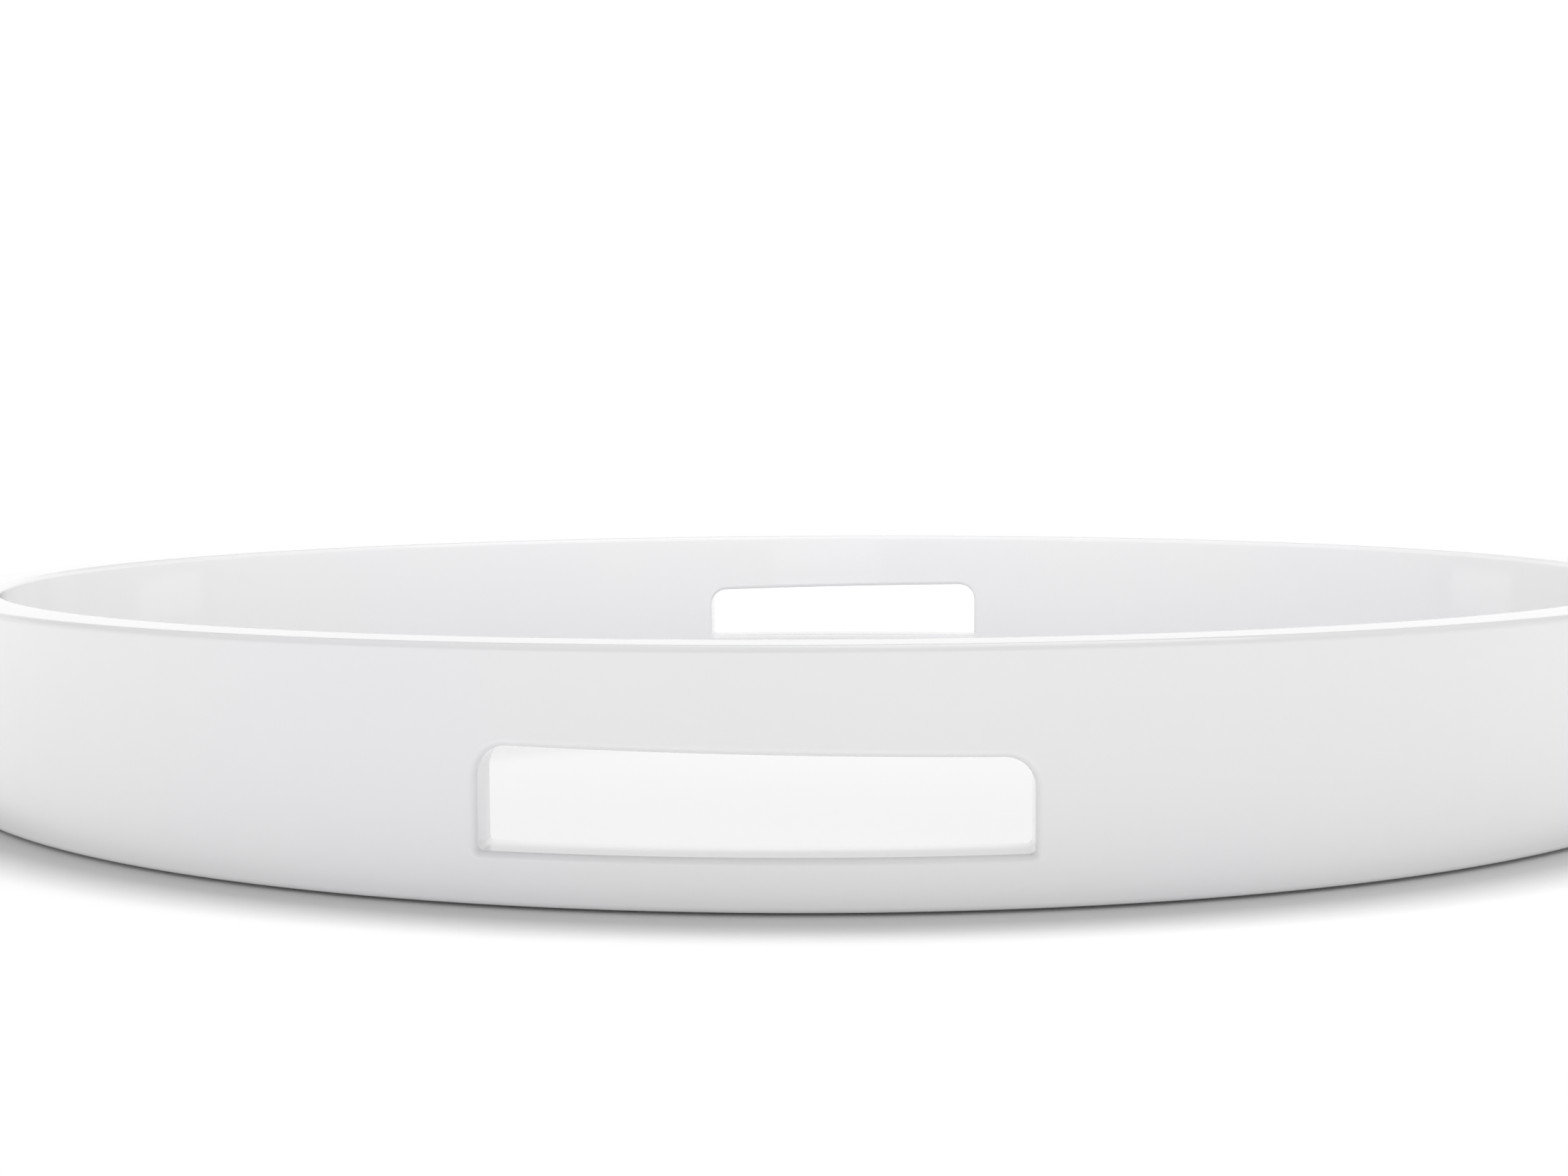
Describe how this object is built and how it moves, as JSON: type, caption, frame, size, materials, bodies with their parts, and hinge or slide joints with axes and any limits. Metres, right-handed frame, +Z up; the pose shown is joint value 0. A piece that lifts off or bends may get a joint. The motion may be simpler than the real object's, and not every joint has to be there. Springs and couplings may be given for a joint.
{
  "type": "round vanity tray",
  "caption": "Round thick-walled tray in white gloss lacquer with two opposed cut-out handles, standing on hidden felt pads.",
  "frame": {"origin": "on the tray's centre line, in the plane that its felt pads stand on", "axes": "+Z up; the handles face -Y (front) and +Y (rear); +X to the right seen from the front"},
  "size_m": [0.457, 0.457, 0.0481],
  "materials": {
    "gloss_lacquer": "high gloss, sprayed",
    "satin_lacquer": "satin, sprayed",
    "bent_ply": "raw bent ply",
    "fibreboard": "raw fibreboard",
    "steel": "bright drawn wire",
    "putty": "sanded filler",
    "felt": "pressed felt",
    "adhesive": "double-sided tape"
  },
  "bodies": {
    "root": {"outer_ply": "bent_ply", "core_ply": "bent_ply", "inner_ply": "bent_ply", "base_panel": "fibreboard", "brads": "steel", "brad_hole_putty": "putty", "gloss_lacquer": "gloss_lacquer", "underside_lacquer": "satin_lacquer", "felt_pad_front_left": "felt", "pad_adhesive_front_left": "adhesive", "felt_pad_front_right": "felt", "pad_adhesive_front_right": "adhesive", "felt_pad_rear_right": "felt", "pad_adhesive_rear_right": "adhesive", "felt_pad_rear_left": "felt", "pad_adhesive_rear_left": "adhesive"}
  },
  "joints": []
}
